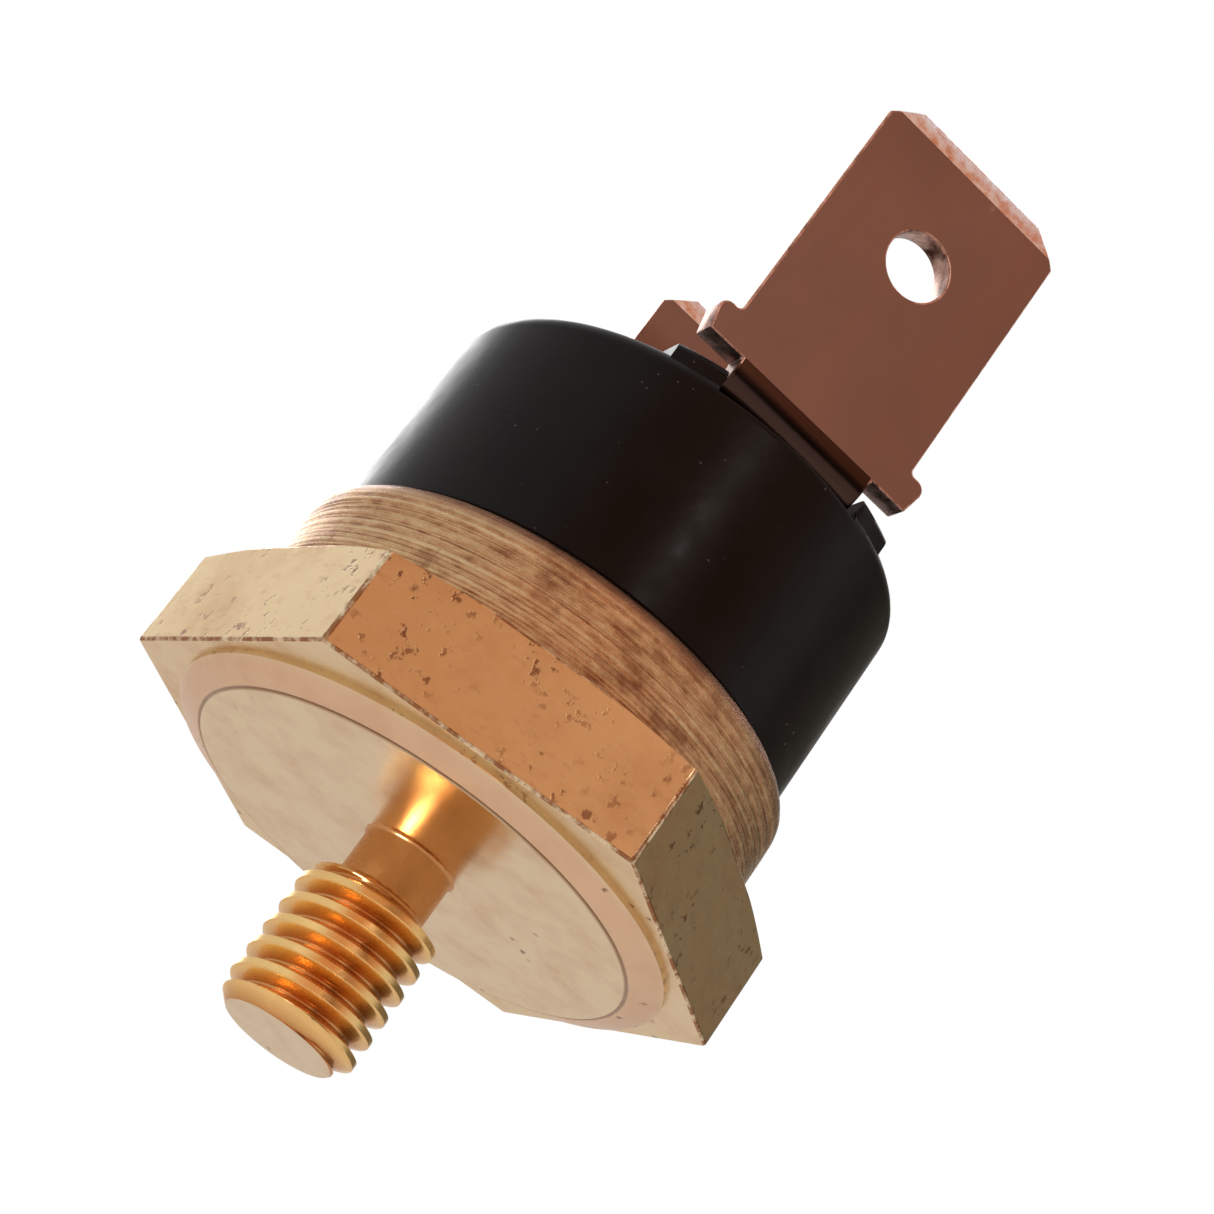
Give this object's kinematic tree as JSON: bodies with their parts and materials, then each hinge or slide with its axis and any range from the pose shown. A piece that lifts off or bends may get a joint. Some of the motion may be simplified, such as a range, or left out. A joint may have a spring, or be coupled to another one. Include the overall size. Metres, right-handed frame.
{
  "type": "snap-disc temperature switch",
  "caption": "Stud-mounted snap-disc switch: hexagonal brass base with crimped collar, round black case and upright spade terminals.",
  "frame": {"origin": "centre of the flat seat face at the root of the stud", "axes": "+Z along the stud's axis, from the seat towards the terminals; the wide terminal faces -Y; +X across the terminal blades"},
  "size_m": [0.0172, 0.0176, 0.0294],
  "materials": {
    "turned_brass": "satin, turned",
    "bimetal": "satin",
    "guide_plastic": "matte",
    "pin_ceramic": "smooth",
    "black_phenolic": "semi-matt moulded",
    "terminal_metal": "satin, copper-brown",
    "rivet_metal": "satin, nickel-plated",
    "spring_bronze": "satin",
    "contact_silver": "polished"
  },
  "bodies": {
    "root": {"hex_base": "turned_brass", "bimetal_disc": "bimetal", "guide_plate": "guide_plastic", "body_case": "black_phenolic", "front_terminal": "terminal_metal", "rear_terminal": "terminal_metal", "front_rivet": "rivet_metal", "rear_rivet": "rivet_metal", "contact_bracket": "spring_bronze", "fixed_contact": "contact_silver", "arm_anchor": "spring_bronze"},
    "pin": {"transfer_pin": "pin_ceramic"},
    "arm": {"contact_arm": "spring_bronze", "moving_contact": "contact_silver"}
  },
  "joints": [
    {"name": "pin_slide", "type": "slide", "parent": "root", "child": "pin", "axis": [0, 0, 1], "range_m": [0, 0.00036], "deforming": ["bimetal_disc"]},
    {"name": "arm_hinge", "type": "hinge", "parent": "root", "child": "arm", "pos_m": [0, 0.0017, 0.0071], "axis": [-1, 0, 0], "range_deg": [0, 13.25], "stiffness_Nm_per_rad": 0.003, "springref_deg": -14.32}
  ],
  "couplings": [
    {"joint": "arm_hinge", "follows": "pin_slide", "rad_per_m": 640}
  ]
}
